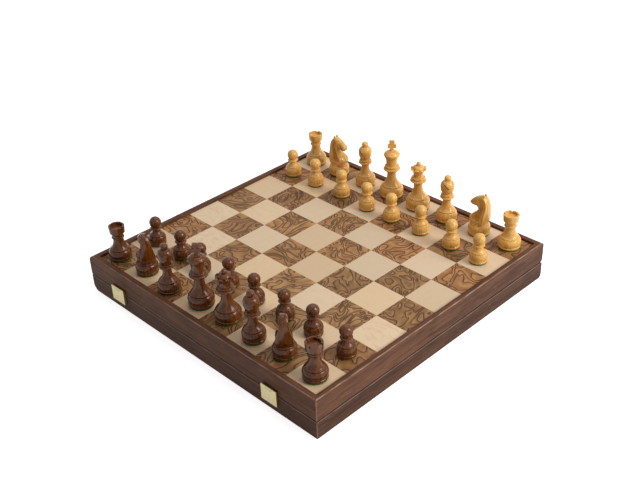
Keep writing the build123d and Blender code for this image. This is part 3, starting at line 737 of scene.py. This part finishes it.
# ------------------------------------------------------------------------------------------ stage
def unit(vector):
    return vector / np.linalg.norm(vector)


def facing(right, up, backward, place):
    """The matrix of an object at place that looks against backward."""
    matrix = np.eye(4)
    matrix[:3, 0], matrix[:3, 1], matrix[:3, 2], matrix[:3, 3] = right, up, backward, place
    return Matrix(matrix.tolist())


def floor_finish(colour):
    """Matt pale floor that shows white to the camera where no shadow falls."""
    finish = Finish("floor", roughness=0.9, specular=0.1)
    finish.paint(colour)
    path = finish.nodes.new("ShaderNodeLightPath")
    shiny = finish.calc("MAXIMUM", path.outputs["Is Glossy Ray"], path.outputs["Is Transmission Ray"])
    seen = finish.calc("MAXIMUM", path.outputs["Is Camera Ray"], shiny)
    finish.surface.inputs["Emission Color"].default_value = WHITE
    finish.put(finish.surface.inputs["Emission Strength"], finish.calc("MULTIPLY", seen, FLOOR_GLOW))
    return finish.material


def add_floor(scene, colour):
    """A large square floor, a hair below the box."""
    sides = [(-1, -1), (1, -1), (1, 1), (-1, 1)]
    corners = [(FLOOR_REACH * x, FLOOR_REACH * y, -FLOOR_DROP) for x, y in sides]
    mesh = bpy.data.meshes.new("floor")
    mesh.from_pydata(corners, [], [(0, 1, 2, 3)])
    mesh.materials.append(floor_finish(colour))
    floor = bpy.data.objects.new("floor", mesh)
    scene.collection.objects.link(floor)


def surroundings(scene, strength):
    """A white backdrop to the camera and shiny surfaces, and a soft light of the given strength otherwise."""
    world = bpy.data.worlds.new("surroundings")
    world.use_nodes = True
    nodes, links = world.node_tree.nodes, world.node_tree.links
    nodes.clear()
    mix = nodes.new("ShaderNodeMixShader")
    for socket, brightness in ((mix.inputs[1], strength), (mix.inputs[2], 1.0)):
        background = nodes.new("ShaderNodeBackground")
        background.inputs["Color"].default_value = WHITE
        background.inputs["Strength"].default_value = brightness
        links.new(background.outputs[0], socket)
    path = nodes.new("ShaderNodeLightPath")
    shiny = nodes.new("ShaderNodeMath")
    shiny.operation = "MAXIMUM"
    links.new(path.outputs["Is Glossy Ray"], shiny.inputs[0])
    links.new(path.outputs["Is Transmission Ray"], shiny.inputs[1])
    seen = nodes.new("ShaderNodeMath")
    seen.operation = "MAXIMUM"
    links.new(path.outputs["Is Camera Ray"], seen.inputs[0])
    links.new(shiny.outputs[0], seen.inputs[1])
    links.new(seen.outputs[0], mix.inputs[0])
    output = nodes.new("ShaderNodeOutputWorld")
    links.new(mix.outputs[0], output.inputs[0])
    scene.world = world


def add_light(scene, name, place, size, power):
    """A square soft light that faces the middle of the board."""
    light = bpy.data.lights.new(name, "AREA")
    light.shape = "SQUARE"
    light.size = size
    light.energy = power
    holder = bpy.data.objects.new(name, light)
    scene.collection.objects.link(holder)
    backward = unit(np.subtract(place, LIT_POINT))
    right = unit(np.cross((0, 0, 1), backward))
    holder.matrix_world = facing(right, np.cross(backward, right), backward, place)


def add_camera(scene, lens):
    camera = bpy.data.cameras.new("camera")
    camera.sensor_width = SENSOR_WIDTH
    camera.sensor_fit = "HORIZONTAL"
    camera.lens = lens
    holder = bpy.data.objects.new("camera", camera)
    scene.collection.objects.link(holder)
    forward = unit(CAMERA_FORWARD)
    right = unit(CAMERA_RIGHT - forward * (CAMERA_RIGHT @ forward))
    holder.matrix_world = facing(right, np.cross(right, forward), -forward, CAMERA_PLACE)
    scene.camera = holder


# ------------------------------------------------------------------------------------------ operators
class PieceOperator:
    bl_options = {"REGISTER", "UNDO"}

    @classmethod
    def poll(cls, context):
        return context.scene is not None


class CHESSBOX_OT_rails(PieceOperator, bpy.types.Operator):
    """Finish the mitred rails of the lid and the base"""
    bl_idname = "chessbox.rails"
    bl_label = "Rails"

    def execute(self, context):
        settings = context.scene.chess_rails
        for way, axis, sides in (("across", X, ("front", "back")), ("deep", Y, ("left", "right"))):
            material = rail_finish(f"rail_wood_{way}", axis, settings)
            dress([f"{shell}_rail_{side}" for shell in ("lid", "base") for side in sides], material)
        return {"FINISHED"}


class CHESSBOX_OT_board(PieceOperator, bpy.types.Operator):
    """Finish the light and the burl squares"""
    bl_idname = "chessbox.board"
    bl_label = "Board"

    def execute(self, context):
        settings = context.scene.chess_board
        dress(["light_squares"], light_veneer(settings))
        dress(["burl_squares"], burl_veneer(settings))
        return {"FINISHED"}


class CHESSBOX_OT_panels(PieceOperator, bpy.types.Operator):
    """Finish the carrier, the bottom panel and the felt linings"""
    bl_idname = "chessbox.panels"
    bl_label = "Panels and linings"

    def execute(self, context):
        settings = context.scene.chess_panels
        dress(["lid_panel", "base_panel"], panel_finish(settings))
        dress(["lid_lining", "base_lining"], felt_finish("lining_felt", settings.lining))
        return {"FINISHED"}


class CHESSBOX_OT_hinges(PieceOperator, bpy.types.Operator):
    """Finish the hinges and their screws"""
    bl_idname = "chessbox.hinges"
    bl_label = "Hinges"

    def execute(self, context):
        colour = context.scene.chess_brass.brass
        leaves = ["hinge_lid_leaves", "hinge_base_leaves"]
        small = ["hinge_pins", "hinge_lid_screws", "hinge_base_screws"]
        dress(leaves, brass_finish("hinge_brass", colour, roughness=0.34))
        dress(small, brass_finish("screw_brass", colour, roughness=0.26))
        return {"FINISHED"}


class CHESSBOX_OT_clasps(PieceOperator, bpy.types.Operator):
    """Finish the clasps' flaps, plates, pins and nails"""
    bl_idname = "chessbox.clasps"
    bl_label = "Clasps"

    def execute(self, context):
        colour = context.scene.chess_brass.brass
        plates = ["clasp_flap_left", "clasp_flap_right", "clasp_hinge_plates", "clasp_strike_plates"]
        small = ["clasp_pins", "clasp_lid_nails", "clasp_strike_nails"]
        dress(plates, brass_finish("clasp_brass", colour, roughness=0.36))
        dress(small, brass_finish("nail_brass", colour, roughness=0.28))
        return {"FINISHED"}


class CHESSBOX_OT_men(PieceOperator, bpy.types.Operator):
    """Finish the turned men and their felt"""
    bl_idname = "chessbox.men"
    bl_label = "Men"

    def execute(self, context):
        settings = context.scene.chess_men
        for colour, polish in POLISH.items():
            men = [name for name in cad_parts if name.startswith(colour) and name != "light_squares"]
            felt_top = min(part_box(name)[0][Z] for name in men) + settings.felt_height
            wood = getattr(settings, colour)
            grain = getattr(settings, f"{colour}_grain")
            dress(men, turned_finish(f"{colour}_turned_wood", wood, grain, settings.felt, felt_top, *polish))
        return {"FINISHED"}


class CHESSBOX_OT_knights(PieceOperator, bpy.types.Operator):
    """Carve the four knights"""
    bl_idname = "chessbox.knights"
    bl_label = "Knights"

    def execute(self, context):
        felt = context.scene.chess_men.felt_height
        for name, turn in KNIGHT_TURNS.items():
            mesh = knight_mesh(f"{name}_carved", context.scene.chess_knights, felt)
            mesh.transform(Matrix.Translation(knight_place(name)) @ Matrix.Rotation(np.radians(turn), 4, "Z"))
            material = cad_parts[name].data.materials[0]
            add_piece(f"{name}_carved", mesh, material, f"{name}_body", name)
        return {"FINISHED"}


class CHESSBOX_OT_stage(PieceOperator, bpy.types.Operator):
    """Set up the floor, the lights and the camera"""
    bl_idname = "chessbox.stage"
    bl_label = "Stage"

    def execute(self, context):
        scene = context.scene
        settings = scene.chess_stage
        scene.view_settings.view_transform = "Standard"
        add_floor(scene, settings.floor)
        surroundings(scene, settings.world)
        for name, (place, size) in LIGHTS.items():
            add_light(scene, name, place, size, getattr(settings, name))
        add_camera(scene, settings.lens)
        return {"FINISHED"}


OPERATORS = (
    CHESSBOX_OT_rails,
    CHESSBOX_OT_board,
    CHESSBOX_OT_panels,
    CHESSBOX_OT_hinges,
    CHESSBOX_OT_clasps,
    CHESSBOX_OT_men,
    CHESSBOX_OT_knights,
    CHESSBOX_OT_stage,
)


class CHESSBOX_PT_sidebar(bpy.types.Panel):
    """The chess box's pieces and settings"""
    bl_label = "Chess Box"
    bl_idname = "CHESSBOX_PT_sidebar"
    bl_space_type = "VIEW_3D"
    bl_region_type = "UI"
    bl_category = "Chess Box"

    def draw(self, context):
        for operator in OPERATORS:
            self.layout.operator(operator.bl_idname)
        for name, group in SETTINGS.items():
            box = self.layout.box()
            for setting in group.__annotations__:
                box.prop(getattr(context.scene, name), setting)


def register():
    for name, group in SETTINGS.items():
        bpy.utils.register_class(group)
        setattr(bpy.types.Scene, name, PointerProperty(type=group))
    for cls in (*OPERATORS, CHESSBOX_PT_sidebar):
        bpy.utils.register_class(cls)


def unregister():
    for cls in (CHESSBOX_PT_sidebar, *reversed(OPERATORS)):
        bpy.utils.unregister_class(cls)
    for name, group in SETTINGS.items():
        delattr(bpy.types.Scene, name)
        bpy.utils.unregister_class(group)


def main():
    register()
    bpy.ops.chessbox.rails()
    bpy.ops.chessbox.board()
    bpy.ops.chessbox.panels()
    bpy.ops.chessbox.hinges()
    bpy.ops.chessbox.clasps()
    bpy.ops.chessbox.men()
    bpy.ops.chessbox.knights()
    bpy.ops.chessbox.stage()


if __name__ == "__main__":
    main()
